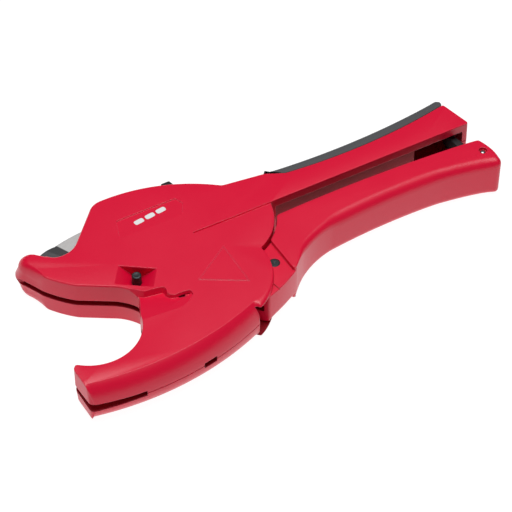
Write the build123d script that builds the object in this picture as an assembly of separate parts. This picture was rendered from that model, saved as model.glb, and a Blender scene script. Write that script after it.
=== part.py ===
"""Ratchet shears for plastic pipe, 42 mm capacity, as an assembly of separate solids.

Millimetres, +Z up. The tool lies on its flat side. The origin is on the resting face, under
the main pivot. +X runs from the pivot to the ends of the handles and +Y to the fixed handle.
Shapes are drawn about the tool's mid-plane (z = 0) and lifted by HALF when they are written.
"""
from build123d import *
from math import atan2, cos, degrees, radians, sin, sqrt
import os

# ---- driving dimensions ---------------------------------------------------------------
PIPE_R = 21.0            # largest pipe, 42 mm across
HALF = 10.5              # half of the tool's thickness

THROAT = (-54.0, -1.5)   # centre of the round pipe seat
RIM_R = 31.3             # round right end of the head, about the main pivot
BAY_R = 29.7             # round bay for the handle's tongue, about the main pivot
BAY_FROM, BAY_TO = -67.0, 14.0        # the bay is this wide a fan about the pivot
TAIL_BAY_R, TAIL_BAY_FROM = 25.2, -108.0  # smaller fan past it, for the tongue's tail
HUB_BAY_R = 14.6         # round bay for the handle's hub
BAY_HALF = 9.0           # half height of that bay
TONGUE_HALF = 8.7        # half thickness of the handle's tongue
TONGUE_R = 24.4          # the tongue's tail stays inside this radius, as it swings into the head
TAIL_FROM, TAIL_TO = -62.0, -50.5     # degrees of the tail's end
SLOT_HALF = 1.5          # half height of the slot that the blade runs in
SLOT_FROM, SLOT_TO = 144.3, 218.6     # the slot is open to the outside between these angles
BLADE_SWING = 65.0       # blade, from open to shut
BLADE_HALF = 0.9
BLADE_TIP = (-56.0, 52.0)
BLADE_HEEL = (-24.0, 1.5)

PIN_R = 5.0              # main pivot pin
RUN = 0.05               # radial clearance of every running fit
TOOTH_R = 24.5           # ratchet tooth tips on the blade
TOOTH_ROOT = 22.3
TOOTH_PITCH = 9.0        # degrees
TOOTH_FROM, TOOTH_TO = -117.0, 54.0

TAB = (20.0, 28.0)       # centre of the round gap between the head and the moving handle
TAB_R = 28.8
TAB_GAP = 1.0
CHANNEL_HALF = 8.1       # half height of the hollows in both handles
RECESS_DEEP = 0.3        # depth of the panel on the upper shell
GROOVE_DEEP = 0.5
FORK_HALF = 1.7          # half width of the tongue's fork, which the blade and the pawl run in
PAWL_HALF = 1.4          # half thickness of the pawls
RELEASE_BAY_HALF = 3.0   # half height of the bay that the release lever swings in

DRIVE_PIN = (31.8, -8.0)
DRIVE_PIN_R = 1.5
HOLD_PIN = (30.0, 18.0)
HOLD_PIN_R = 2.0
LOCK_PIN = (-23.4, 15.4)
LOCK_R = 2.15
POCKET_TURN = -36.5      # the lock pocket's long side, degrees from +X
POCKET = (16.6, 10.4)    # its length and width
POCKET_DEEP = 7.3        # depth of its V-shaped floor
BLADE_COIL = (-2.0, 42.0)
LATCH_PIN = (149.0, 2.3)
LATCH_PIN_R = 1.35
WINDOW = (125.5, 150.8)  # latch window in the fixed handle's inner wall, from x to x
WINDOW_HALF = 5.5
LATCH_HALF = 3.4         # half thickness of the latch
LATCH_HUB_R = 2.6        # radius of its hub

SCREW_R = 1.5            # M3 case screws
SCREW_HEAD_R = 2.8
SCREW_HEAD = (-8.6, -6.0)             # height of a screw's head, from z to z
SCREW_TOP = 5.5
SCREWS = [(5.0, 53.5), (43.0, 34.5), (-38.0, -31.2), (74.0, 29.2), (120.0, 28.4)]


# ---- small helpers --------------------------------------------------------------------
def polar(radius, angle, centre=(0.0, 0.0)):
    """Return the point at a radius and an angle in degrees about a centre."""
    return (centre[0] + radius * cos(radians(angle)), centre[1] + radius * sin(radians(angle)))


def arc(start, through, end):
    """Return the arc through three points."""
    return ThreePointArc(start, through, end)


def about(centre, radius, first, last):
    """Return an arc about a centre, between two angles in degrees."""
    middle = (first + last) / 2
    return arc(polar(radius, first, centre), polar(radius, middle, centre), polar(radius, last, centre))


def face_of(*edges):
    """Return the sketch inside a closed chain of edges."""
    return make_face(Curve() + list(edges))


def prism(sketch, low, high):
    """Return a sketch pulled straight from one height to another."""
    return Pos(0, 0, low) * extrude(sketch, high - low)


def rod(centre, radius, low, high):
    """Return an upright cylinder."""
    return prism(Pos(*centre) * Circle(radius), low, high)


def sector(radius, first, last, steps=12):
    """Return a pie slice about the main pivot with a many-sided outer edge."""
    span = (last - first) / steps
    reach = radius / cos(radians(span / 2))
    rim = [polar(reach, first + span * step) for step in range(steps + 1)]
    return make_face(Polyline((0, 0), *rim, close=True))


def soften(part, edges, radius):
    """Round some edges of a part, and leave the part as it is where they can't be rounded."""
    try:
        return fillet(edges, radius)
    except Exception:
        return part


def coil(centre, radius, wire, pitch, turns, low):
    """Return a round-wire coil standing at a height."""
    path = Helix(pitch, pitch * turns, radius)
    profile = Plane(origin=path @ 0, z_dir=path % 0) * Circle(wire / 2)
    return Pos(centre[0], centre[1], low) * sweep(profile, path=path, is_frenet=True)


# ---- outlines, at the mid-plane -------------------------------------------------------
RIM_END = polar(RIM_R, -67.0)
RIM_MID = (-34.4, -38.25)
JAW_CORNER = (-71.4, -33.5)
JAW_TIP = (-71.8, -19.2)
DOME_TOP = polar(RIM_R, 3.0)
TAB_TOP = polar(TAB_R, -10.0, TAB)
HUMP_START = (-16.5, 64.0)
HUMP_END = (35.5, 44.8)
GRIP_START = (55.5, 41.6)
GRIP_STEP = (64.0, 35.9)
GRIP_MID = (99.0, 33.3)
GRIP_END = (150.3, 37.4)
HANDLE_END = (154.0, 20.6)


def shell_outline():
    """Return the outline of the head and the fixed handle."""
    seat_left = polar(PIPE_R + 0.2, 226.0, THROAT)
    seat_right = polar(PIPE_R + 0.2, -12.0, THROAT)
    corner = (-28.3, 4.6)
    nose_in = (-64.2, 44.3)
    nose_tip = (-63.8, 52.4)
    nose_out = (-56.4, 51.6)
    recess_low = (-45.0, 42.6)
    hump_foot = (-37.6, 45.6)
    hump_corner = (-23.5, 60.5)
    edges = [
        about(THROAT, PIPE_R + 0.2, -134.0, -12.0),
        Line(seat_right, corner),
        arc(corner, (-31.8, 9.7), (-37.2, 14.2)),
        Line((-37.2, 14.2), (-49.4, 22.0)),
        arc((-49.4, 22.0), (-55.5, 28.6), (-60.0, 35.3)),
        Line((-60.0, 35.3), nose_in),
        arc(nose_in, (-65.5, 48.8), nose_tip),
        arc(nose_tip, (-60.2, 53.8), nose_out),
        arc(nose_out, (-52.0, 45.6), recess_low),
        arc(recess_low, (-41.0, 43.3), hump_foot),
        Line(hump_foot, hump_corner),
        arc(hump_corner, (-20.6, 62.9), HUMP_START),
        arc(HUMP_START, (11.0, 59.2), HUMP_END),
        Line(HUMP_END, GRIP_START),
        Line(GRIP_START, GRIP_STEP),
        arc(GRIP_STEP, GRIP_MID, GRIP_END),
        Line(GRIP_END, HANDLE_END),
        Line(HANDLE_END, TAB_TOP),
        about(TAB, TAB_R, -10.0, -66.0),
        Line(polar(TAB_R, -66.0, TAB), DOME_TOP),
        about((0, 0), RIM_R, 3.0, -67.0),
        arc(RIM_END, RIM_MID, JAW_CORNER),
        Line(JAW_CORNER, JAW_TIP),
        Line(JAW_TIP, seat_left),
    ]
    return face_of(*edges)


def rolled_rim():
    """Return the body that the head's lower edge is rolled to, from mid-plane to top face."""
    left = (4.0, 4.8)    # outer edge's offset inwards at the top face: at the jaw tip,
    middle = 6.8         # in the middle of the rim,
    right = 3.2          # and at the round end of the head
    sections = []
    for turn in (0.0, 30.0, 52.0, 72.0, 90.0):
        shift = 1 - cos(radians(turn))
        height = HALF * sin(radians(turn))
        ends = ((JAW_CORNER[0] - 6.0, JAW_CORNER[1] + left[0] * shift + 0.8),
                (RIM_MID[0], RIM_MID[1] + middle * shift),
                (RIM_END[0] + 9.0, RIM_END[1] + right * shift + 3.1))
        ring = face_of(arc(*ends), Line(ends[2], (ends[2][0], 20.0)),
                       Line((ends[2][0], 20.0), (ends[0][0], 20.0)), Line((ends[0][0], 20.0), ends[0]))
        sections.append(Pos(0, 0, height) * ring)
    return loft(sections)


def handle_outline():
    """Return the moving handle's outline with its tongue and hub."""
    gap_r = TAB_R + TAB_GAP
    top = polar(gap_r, -26.0, TAB)
    inner_end = (151.5, 9.4)
    edges = [
        about(TAB, gap_r, -26.0, -66.5),
        Line(polar(gap_r, -66.5, TAB), (14.0, 1.5)),
        Line((14.0, 1.5), (0.0, 12.0)),
        arc((0.0, 12.0), (-12.0, 0.0), (0.0, -12.0)),
        Line((0.0, -12.0), polar(TONGUE_R, TAIL_FROM)),
        about((0, 0), TONGUE_R, TAIL_FROM, TAIL_TO),
        Line(polar(TONGUE_R, TAIL_TO), polar(31.2, TAIL_TO)),
        arc(polar(31.2, TAIL_TO), (28.4, -21.2), (37.0, -16.9)),
        arc((37.0, -16.9), (41.7, -13.2), (46.0, -10.0)),
        arc((46.0, -10.0), (56.0, -4.4), (68.0, -1.5)),
        arc((68.0, -1.5), (97.0, -0.1), (124.0, -1.6)),
        arc((124.0, -1.6), (138.0, -4.1), (150.4, -7.8)),
        arc((150.4, -7.8), (152.8, -7.1), (153.5, -4.6)),
        arc((153.5, -4.6), (153.3, 2.5), inner_end),
        arc(inner_end, (100.0, 13.9), top),
    ]
    return face_of(*edges)


# ---- shells ---------------------------------------------------------------------------
def shell_body():
    """Return one half of the case above the mid-plane, still without what is local to it."""
    body = prism(shell_outline(), 0, HALF)
    reach = Pos(-34, -30, 0) * Rectangle(96, 34)
    body -= prism(reach, 0, HALF + 1) - rolled_rim()
    body -= rod((0, 0), HUB_BAY_R, -1, BAY_HALF)
    body -= prism(sector(BAY_R, BAY_FROM, BAY_TO), -1, BAY_HALF)
    body -= prism(sector(TAIL_BAY_R, TAIL_BAY_FROM, BAY_FROM + 1), -1, BAY_HALF)
    body -= prism(sector(46.0, BAY_FROM, 3.0), -1, BAY_HALF)
    body -= rod((0, 0), BAY_R, -1, SLOT_HALF)
    body -= prism(sector(90.0, SLOT_FROM, SLOT_TO), -1, SLOT_HALF)
    body -= prism(sector(78.0, 113.0, SLOT_FROM + 1), -1, SLOT_HALF)
    body -= prism(sector(63.4, 98.0, 114.0), -1, SLOT_HALF)
    body -= prism(sector(59.8, 74.0, 100.0), -1, SLOT_HALF)
    body -= prism(sector(42.0, SLOT_TO - 6, 250.0), -1, SLOT_HALF)
    body -= prism(sector(32.5, 0.0, 25.0), -1, PAWL_HALF + 0.6)
    body -= prism(release_bay(), -1, RELEASE_BAY_HALF)
    body -= prism(handle_bay(), -1, CHANNEL_HALF)
    body -= prism(make_face(Polyline((WINDOW[0], 18), (WINDOW[1], 18), (WINDOW[1], 27),
                                     (WINDOW[0], 27), close=True)), -1, WINDOW_HALF)
    return body


def release_bay():
    """Return the bay that the release lever swings in, open through the hump."""
    return make_face(Polyline((20, 8), (37, 12), (37, 22), (34.8, 30), (28.8, 54), (28.5, 66),
                              (11, 70), (12.5, 40), (13, 24), close=True))


def handle_bay():
    """Return the hollow of the fixed handle."""
    return make_face(Polyline((54, 25.6), (151.7, 23.6), (150.2, 33), (148, 34.4), (110, 31.6),
                              (80, 31.8), (66, 33.2), (54, 37.0), close=True))


def lock_pocket():
    """Return the space of the lock pocket: a V-shaped trough that runs towards the pipe seat."""
    length, width = POCKET
    profile = Plane.XZ * make_face(Polyline((-length / 2, 0), (0, -POCKET_DEEP), (length / 2, 0),
                                            (length / 2, 2), (-length / 2, 2), close=True))
    trough = extrude(profile, width)
    return Pos(LOCK_PIN[0], LOCK_PIN[1], HALF) * Rot(0, 0, POCKET_TURN) * Pos(0, 3.7, 0) * trough


def seat_ramp():
    """Return the space above the ramp that leads down into the pipe seat's upper corner."""
    start, end = (-31.4, -9.7), (-12.1, -11.2)
    along = Vector(end[0] - start[0], end[1] - start[1], 0).normalized()
    across = Vector(-along.Y, along.X, 0)
    tilt = radians(10.8)
    up = across * sin(tilt) + Vector(0, 0, cos(tilt))
    ramp = Plane(origin=(start[0], start[1], HALF), x_dir=along, z_dir=up)
    space = ramp * Box(90, 60, 9, align=(Align.CENTER, Align.CENTER, Align.MIN))
    edge = make_face(Polyline((-36.0, -3.0), (-30.0, 6.0), (-26.4, 3.6), (-17.8, 1.8), (-18.2, -1.6),
                              (-15.4, -4.6), (-9.1, -5.0), (-8.2, -8.0), end, start, (-36.0, -9.4),
                              close=True))
    return space & prism(edge, 0, HALF + 2)


def screw_post(centre):
    """Return the post that a case screw bites into."""
    return rod(centre, 3.4, 0, HALF - 1)


def upper_shell():
    """Return the upper half of the case, with its pocket, ramp, panel and warning triangle."""
    body = shell_body() + screw_post(SCREWS[3]) + screw_post(SCREWS[4])
    for place in SCREWS:
        body -= rod(place, SCREW_R + 0.02, -1, SCREW_TOP + 0.5)
    body -= lock_pocket()
    body -= rod(LOCK_PIN, LOCK_R + RUN, -1, HALF)
    body -= seat_ramp()
    panel = make_face(Polyline((-17.5, 48.0), (12.6, 45.9), (14.6, 42.0), (10.0, 35.0),
                               (-20.0, 37.0), close=True))
    body -= prism(panel, HALF - RECESS_DEEP, HALF + 1)
    groove = make_face(Polyline((10.5, 23.7), (48.8, 22.7), (48.8, 23.3), (10.5, 24.4), close=True))
    body -= prism(groove, HALF - GROOVE_DEEP, HALF + 1)
    triangle = make_face(Polyline((17.0, 10.4), (16.6, -13.0), (-2.2, -1.3), close=True))
    return body + prism(triangle - offset(triangle, -0.9), HALF - 0.5, HALF + 0.25)


def lower_shell():
    """Return the lower half of the case, with its screw wells and the blade spring's post."""
    body = mirror(shell_body() + screw_post(SCREWS[3]) + screw_post(SCREWS[4]), Plane.XY)
    body -= rod(LOCK_PIN, LOCK_R + 0.4, -4.0, 1)
    body -= rod(BLADE_COIL, 4.6, -7.0, 1) - rod(BLADE_COIL, 2.6, -7.0, -1.6)
    for place in SCREWS:
        body -= rod(place, SCREW_R + 0.15, -HALF - 1, 1)
        body -= rod(place, SCREW_HEAD_R + 0.2, -HALF - 1, SCREW_HEAD[1])
    return body


def grip_insert():
    """Return the soft pad along the back of the fixed handle."""
    outer = arc((55.2, 41.8), (101.0, 38.9), (149.5, 42.3))
    edges = [outer, Line((149.5, 42.3), (151.6, 40.3)), Line((151.6, 40.3), (150.3, 37.5)),
             arc((150.3, 37.5), (99.0, 33.4), (64.0, 36.0)), Line((64.0, 36.0), (55.2, 41.8))]
    pad = prism(face_of(*edges), -HALF + 0.4, HALF - 0.4)
    back = pad.faces().sort_by(Axis.Y)[-1]
    return soften(pad, [e for e in back.edges() if abs(e.center().Z) > 5], 2.4)


# ---- main pivot and blade -------------------------------------------------------------
def main_pivot_pin():
    """Return the pin between the two shells' plates."""
    return rod((0, 0), PIN_R, -BAY_HALF, BAY_HALF)


def pivot_washers():
    """Return the two thrust washers between the tongue and the shells' plates."""
    ring = Circle(9.0) - Circle(PIN_R + RUN)
    upper = prism(ring, TONGUE_HALF + 0.02, BAY_HALF - 0.02)
    return [upper, mirror(upper, Plane.XY)]


def ratchet_disc():
    """Return the blade's round hub with its saw teeth."""
    points = []
    count = round((TOOTH_TO - TOOTH_FROM) / TOOTH_PITCH)
    for tooth in range(count):
        first = TOOTH_FROM + tooth * TOOTH_PITCH
        points += [polar(TOOTH_ROOT, first), polar(TOOTH_R, first + 0.4)]
    points.append(polar(TOOTH_ROOT, TOOTH_TO))
    back = arc(polar(TOOTH_ROOT, TOOTH_TO), polar(TOOTH_ROOT, 150.0), polar(TOOTH_ROOT, TOOTH_FROM))
    return make_face(Curve() + [Polyline(*points), back])


def blade():
    """Return the ground blade with its lock holes and the seat of its bush."""
    spine = (-43.0, 56.0)
    edges = [
        Line(BLADE_HEEL, BLADE_TIP),
        arc(BLADE_TIP, (-50.5, 54.9), spine),
        arc(spine, (-27.0, 58.3), (-9.0, 57.0)),
        Line((-9.0, 57.0), polar(TOOTH_ROOT, 54.0)),
        Line(polar(TOOTH_ROOT, 54.0), (0, 0)),
        Line((0, 0), polar(TOOTH_ROOT, -120.0)),
        arc(polar(TOOTH_ROOT, -120.0), (-19.6, -13.0), BLADE_HEEL),
    ]
    flat = face_of(*edges) + ratchet_disc() - Circle(7.0)
    body = prism(flat, -BLADE_HALF, BLADE_HALF)
    for turn in (0.0, -BLADE_SWING):
        place = Rot(0, 0, turn) * Pos(*LOCK_PIN)
        body -= Pos(0, 0, -2) * place * extrude(Circle(LOCK_R + 0.25), 4)
    run = sqrt((BLADE_TIP[0] - BLADE_HEEL[0]) ** 2 + (BLADE_TIP[1] - BLADE_HEEL[1]) ** 2)
    lean = degrees(atan2(BLADE_TIP[1] - BLADE_HEEL[1], BLADE_TIP[0] - BLADE_HEEL[0]))
    bevel, edge_half = 9.5, 0.12
    wedge = Plane.YZ * make_face(Polyline((3, edge_half), (3, 3), (-bevel, 3), (-bevel, BLADE_HALF),
                                          (0, edge_half), close=True))
    ground = Pos(-6, 0, 0) * extrude(wedge, run + 14)
    ground = Pos(BLADE_HEEL[0], BLADE_HEEL[1], 0) * Rot(0, 0, lean) * ground
    return body - ground - mirror(ground, Plane.XY)


def blade_bush():
    """Return the bronze bush pressed into the blade."""
    return prism(Circle(7.0) - Circle(PIN_R + RUN), -BLADE_HALF, BLADE_HALF)


# ---- moving handle --------------------------------------------------------------------
def moving_handle():
    """Return the cast handle: channel grip, forked tongue and hub."""
    outline = handle_outline()
    grip_zone = make_face(Polyline((37.0, -40), (37.0, 30), (170, 30), (170, -40), close=True))
    grip_upper = prism(outline & grip_zone, 0, HALF)
    crest = grip_upper.faces().sort_by(Axis.Z)[-1]
    outer = [e for e in crest.edges() if e.center().Y < 5.0 and e.center().X > 46.0]
    grip_upper = soften(grip_upper, outer, 3.4)
    body = grip_upper + mirror(grip_upper, Plane.XY)
    tongue_zone = make_face(Polyline((-20, -40), (-20, 30), (38, 30), (38, -40), close=True))
    body += prism(outline & tongue_zone, -TONGUE_HALF, TONGUE_HALF)
    body -= rod((0, 0), PIN_R + RUN, -HALF, HALF)
    body -= rod((0, 0), TOOTH_R + 4.2, -FORK_HALF, FORK_HALF)
    pawl_room = make_face(Polyline((20, 8), (36, 5.2), (38, -6), (36, -13), (22, -8), close=True))
    body -= prism(pawl_room, -FORK_HALF, FORK_HALF)
    body -= rod((0, 0), 8.6, 4.5, TONGUE_HALF - 0.4)
    body -= rod(DRIVE_PIN, 2.9, FORK_HALF - 0.1, 3.4)
    body -= rod(DRIVE_PIN, DRIVE_PIN_R, -HALF, HALF)
    body -= rod(DRIVE_PIN, 2.45, TONGUE_HALF - 1.2, HALF)
    channel = make_face(Polyline((52, 18), (52, 3.6), (68, 3.0), (97, 3.6), (124, 1.6), (140, -1.4),
                                 (146, -2.4), (151.9, -2.4), (151.9, 4.5),
                                 (150.8, 9.4), (150.8, 18), close=True))
    body -= prism(channel, -CHANNEL_HALF, CHANNEL_HALF)
    body -= rod(LATCH_PIN, LATCH_PIN_R, -HALF, HALF)
    body -= rod(LATCH_PIN, 1.95, HALF - 1.5, HALF + 1)
    body -= rod(LATCH_PIN, 1.95, -HALF - 1, -HALF + 1.5)
    return body


def drive_pawl():
    """Return the pawl in the handle's fork that pushes the blade's teeth."""
    eye = 3.2
    tip = polar(TOOTH_R + 0.35, 7.0)
    low = (tip[0] + 0.1, tip[1] - 2.2)
    back = (tip[0] + 2.6, tip[1] + 0.6)
    edges = [about(DRIVE_PIN, eye, 15.0, -150.0), Line(polar(eye, -150.0, DRIVE_PIN), low),
             Line(low, tip), Line(tip, back), Line(back, polar(eye, 15.0, DRIVE_PIN))]
    return prism(face_of(*edges), -PAWL_HALF, PAWL_HALF) - rod(DRIVE_PIN, DRIVE_PIN_R + RUN, -2, 2)


def drive_pawl_pin():
    """Return the pawl's pin, its head in the tongue's counterbore."""
    head = rod(DRIVE_PIN, 2.35, TONGUE_HALF - 1.2, TONGUE_HALF - 0.05)
    body = rod(DRIVE_PIN, DRIVE_PIN_R, -TONGUE_HALF + 0.3, TONGUE_HALF - 1.2) + head
    return body - rod(DRIVE_PIN, 0.6, TONGUE_HALF - 0.5, TONGUE_HALF)


def drive_pawl_spring():
    """Return the small coil about the pawl's pin that presses the pawl on the teeth."""
    return coil(DRIVE_PIN, 2.15, 0.5, 0.6, 1.5, 1.95)


def handle_spring():
    """Return the coil about the main pivot that opens the handle."""
    return coil((0, 0), 6.8, 1.2, 1.5, 1.5, 5.2)


# ---- release lever --------------------------------------------------------------------
def lever_arm():
    """Return the outline of the release lever's long arm."""
    return make_face(Polyline((25.6, 20.0), (33.8, 21.0), (22.4, 49.0), (20.6, 62.0), (15.4, 62.0),
                              (16.4, 46.0), close=True))


def release_lever():
    """Return the lever whose lower end is the holding pawl."""
    x, y = polar(TOOTH_R + 0.4, 43.0)
    pawl = make_face(Polyline((x, y), (x + 1.2, y + 3.0), (29.0, 22.6), (27.0, 13.8), (x + 3.2, y - 2.4),
                              close=True))
    body = rod(HOLD_PIN, 5.0, -PAWL_HALF, PAWL_HALF) + prism(pawl, -PAWL_HALF, PAWL_HALF)
    body += prism(lever_arm(), -PAWL_HALF, PAWL_HALF)
    return body - rod(HOLD_PIN, HOLD_PIN_R + RUN, -2, 2)


def release_spring():
    """Return the coil about the lever's pin that presses the holding pawl on the teeth."""
    return coil(HOLD_PIN, 2.6, 0.5, 0.6, 1.2, 1.75)


def release_button():
    """Return the thumb piece moulded over the lever's outer end."""
    half, top = 2.6, 65.8
    sketch = make_face(Polyline((14.9, 60.6), (21.2, 60.6), (20.4, top), (15.6, top), close=True))
    block = prism(sketch, -half, half)
    block = soften(block, [e for e in block.edges() if e.center().Y > top - 0.4], 1.0)
    return block - prism(lever_arm(), -PAWL_HALF, PAWL_HALF)


def release_pin():
    """Return the release lever's fixed pin."""
    return rod(HOLD_PIN, HOLD_PIN_R, -RELEASE_BAY_HALF, RELEASE_BAY_HALF)


# ---- blade lock -----------------------------------------------------------------------
def lock_button():
    """Return the pin that is pushed down through the blade to hold it."""
    body = rod(LOCK_PIN, LOCK_R, 1.25, HALF - 0.9)
    body = soften(body, body.faces().sort_by(Axis.Z)[-1].edges(), 0.4)
    return body


def blade_spring():
    """Return the coil that swings the blade open when it is released."""
    return coil(BLADE_COIL, 3.4, 0.9, 1.0, 3.0, -5.4)


# ---- latch at the handles' ends -------------------------------------------------------
def latch():
    """Return the hook that keeps the handles together."""
    x, y = LATCH_PIN
    toe_low, toe_top = 24.2, 27.2
    shank = make_face(Polyline((x - LATCH_HUB_R, y - 1.0), (x - 4.4, toe_low), (x - 4.0, toe_top),
                               (x - 1.4, toe_top), (x + 0.2, toe_low + 1.2), (x + 0.4, toe_low),
                               (x - 1.4, toe_low - 0.6), (x + 1.8, y + 1.8), close=True))
    body = prism(shank, -LATCH_HALF, LATCH_HALF) + rod(LATCH_PIN, LATCH_HUB_R, -LATCH_HALF, LATCH_HALF)
    return body - rod(LATCH_PIN, LATCH_PIN_R + RUN, -5, 5)


def latch_pin():
    """Return the latch's pin through the end of the moving handle."""
    body = rod(LATCH_PIN, LATCH_PIN_R, -HALF + 0.6, HALF - 0.6)
    return soften(body, [e for e in body.edges() if e.geom_type == GeomType.CIRCLE], 0.6)


# ---- fasteners ------------------------------------------------------------------------
def case_screws():
    """Return the case screws, driven from the lower side."""
    screws = []
    for place in SCREWS:
        body = rod(place, SCREW_HEAD_R, *SCREW_HEAD) + rod(place, SCREW_R, SCREW_HEAD[1], SCREW_TOP)
        socket = Pos(place[0], place[1], SCREW_HEAD[0] - 0.1) * extrude(RegularPolygon(1.3, 6), 1.6)
        screws.append(body - socket)
    return screws


def build():
    """Return every node's solid or solids by name."""
    return {
        "upper_shell": upper_shell(),
        "lower_shell": lower_shell(),
        "grip_insert": grip_insert(),
        "case_screws": case_screws(),
        "main_pivot_pin": main_pivot_pin(),
        "pivot_washers": pivot_washers(),
        "blade": blade(),
        "blade_bush": blade_bush(),
        "blade_spring": blade_spring(),
        "moving_handle": moving_handle(),
        "drive_pawl": drive_pawl(),
        "drive_pawl_pin": drive_pawl_pin(),
        "drive_pawl_spring": drive_pawl_spring(),
        "handle_spring": handle_spring(),
        "release_lever": release_lever(),
        "release_button": release_button(),
        "release_pin": release_pin(),
        "release_spring": release_spring(),
        "lock_button": lock_button(),
        "latch": latch(),
        "latch_pin": latch_pin(),
    }


def write(name, shape):
    """Lift a node to the resting face and write it."""
    solids = shape if isinstance(shape, list) else shape.solids()
    placed = Compound([Pos(0, 0, HALF) * s for piece in solids for s in piece.solids()])
    export_step(placed, f"parts/{name}.step")


os.makedirs("parts", exist_ok=True)
for node, solid in build().items():
    write(node, solid)
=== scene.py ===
"""Looks of one-hand ratchet shears for plastic pipe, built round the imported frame.

Every shape is drawn in millimetres about the tool's mid-plane, as in the frame's own design, and
becomes metres in the frame when it is put into a mesh: x and y stay, z is lifted by half of the
tool's thickness. The case and the moving handle are cast and powder coated in red, the pad on the
back is rubber, the latch and the thumb piece are black plastic, and the rest is steel.
"""
from __future__ import annotations

import logging
import math
from dataclasses import dataclass, field
from enum import Enum
from typing import Sequence

import bpy
import numpy as np
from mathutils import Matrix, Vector


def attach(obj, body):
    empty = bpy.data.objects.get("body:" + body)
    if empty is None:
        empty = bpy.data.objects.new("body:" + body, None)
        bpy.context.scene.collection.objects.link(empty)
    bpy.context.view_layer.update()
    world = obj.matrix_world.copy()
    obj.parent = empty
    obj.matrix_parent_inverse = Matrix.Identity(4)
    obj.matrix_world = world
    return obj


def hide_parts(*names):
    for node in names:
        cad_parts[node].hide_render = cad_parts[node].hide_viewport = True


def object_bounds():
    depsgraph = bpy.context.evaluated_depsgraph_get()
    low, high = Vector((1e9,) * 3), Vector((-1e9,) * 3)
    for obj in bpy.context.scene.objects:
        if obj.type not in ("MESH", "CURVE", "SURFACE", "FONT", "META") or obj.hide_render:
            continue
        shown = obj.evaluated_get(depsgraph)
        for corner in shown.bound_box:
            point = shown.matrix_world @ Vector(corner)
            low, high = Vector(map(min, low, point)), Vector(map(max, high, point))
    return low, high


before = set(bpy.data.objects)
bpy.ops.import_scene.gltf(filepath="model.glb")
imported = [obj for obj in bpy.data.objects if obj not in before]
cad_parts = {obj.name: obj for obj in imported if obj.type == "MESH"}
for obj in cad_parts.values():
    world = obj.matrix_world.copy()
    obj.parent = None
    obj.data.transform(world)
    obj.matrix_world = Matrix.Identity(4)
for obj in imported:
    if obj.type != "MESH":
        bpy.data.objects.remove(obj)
CAD_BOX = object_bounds()

LOG = logging.getLogger("pipe_shears")
Array = np.ndarray
Point = tuple[float, float]
Solid = tuple[np.ndarray, list[list[int]]]   # points in millimetres, and faces
Piece = bpy.types.Object
Tree = bpy.types.NodeTree
Socket = bpy.types.NodeSocket
MIX_SHARE, MIX_FIRST, MIX_SECOND, MIX_RESULT = 0, 6, 7, 2   # a Mix node's sockets for colours

MM = 0.001
HALF = 1000.0 * CAD_BOX[1].z / 2.0 - 0.125   # half thickness without the raised triangle
LIP = 0.28          # round of the edges at the parting line
STEP = 0.35         # distance between the points of a traced outline
EASE = 0.75         # how far a corner of an outline is eased, as the spread of a soft blur
TAB = (20.0, 28.0)  # centre of the round gap between the head and the moving handle
THROAT = (-54.0, -1.5)
LOCK_PIN = (-23.4, 15.4)
DRIVE_PIN = (31.8, -8.0)
LATCH_PIN = (149.0, 2.3)


class Cut(Enum):
    """Ways to join one closed mesh with another."""

    AWAY = "DIFFERENCE"
    ONTO = "UNION"


class Coat(Enum):
    """Names of the finishes, which are also the names of their materials."""

    RED = "red_powder_coat"
    RED_CUT = "red_powder_coat_relief"
    RED_INSIDE = "red_powder_coat_inside"
    RUBBER = "dark_rubber"
    BLACK = "black_plastic"
    BLACK_STEEL = "blackened_steel"
    STEEL = "ground_steel"
    BLADE = "blade_steel"
    SPRING = "spring_wire"
    BRONZE = "turned_bronze"
    NYLON = "natural_nylon"
    PRINT = "white_print"
    FLOOR = "white_floor"


# ---- curves ---------------------------------------------------------------------------------
def polar(radius: float, angle: float, centre: Point = (0.0, 0.0)) -> Point:
    """Place a point by radius and angle.

    Args:
        radius: Distance from the centre.
        angle: Angle from +X, in degrees.
        centre: The centre.

    Returns:
        The point.
    """
    turn = math.radians(angle)
    return (centre[0] + radius * math.cos(turn), centre[1] + radius * math.sin(turn))


def trace(start: Point, end: Point, via: Point | None, count: int) -> Array:
    """Sample a straight or round stretch, without its end point.

    A round stretch is the circle through the three points: its centre is where the two
    perpendicular bisectors meet, and its angle runs evenly from the start to the end past via.

    Args:
        start: First point.
        end: Last point.
        via: A point on the arc between them, or None for a straight stretch.
        count: Number of samples.

    Returns:
        The samples, count by 2.
    """
    share = np.arange(count)[:, None] / count
    first, last = np.array(start, float), np.array(end, float)
    if via is None:
        return first + (last - first) * share
    mid = np.array(via, float)
    rows = 2.0 * np.array([mid - first, last - first])
    sides = np.array([mid @ mid - first @ first, last @ last - first @ first])
    centre = np.linalg.solve(rows, sides)
    spokes = np.array([first, mid, last]) - centre
    turn = np.arctan2(spokes[:, 1], spokes[:, 0])
    full = 2.0 * math.pi
    to_mid = (turn[1] - turn[0]) % full
    to_last = (turn[2] - turn[0]) % full
    sweep = to_last if to_mid <= to_last else to_last - full
    angle = turn[0] + sweep * share[:, 0]
    radius = np.linalg.norm(spokes[0])
    return centre + radius * np.stack([np.cos(angle), np.sin(angle)], axis=1)


def eased(track: Array, spread: float) -> Array:
    """Blur values along a closed path with a bell-shaped weight, worked out as a Fourier product.

    Args:
        track: Values at evenly spaced points, n or n by k.
        spread: Standard deviation of the bell, in samples.

    Returns:
        The blurred values, shaped as the track.
    """
    count = len(track)
    waves = np.arange(count // 2 + 1) / count
    damping = np.exp(-2.0 * (math.pi * waves * spread) ** 2)
    if track.ndim == 2:
        damping = damping[:, None]
    return np.fft.irfft(np.fft.rfft(track, axis=0) * damping, n=count, axis=0)


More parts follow.
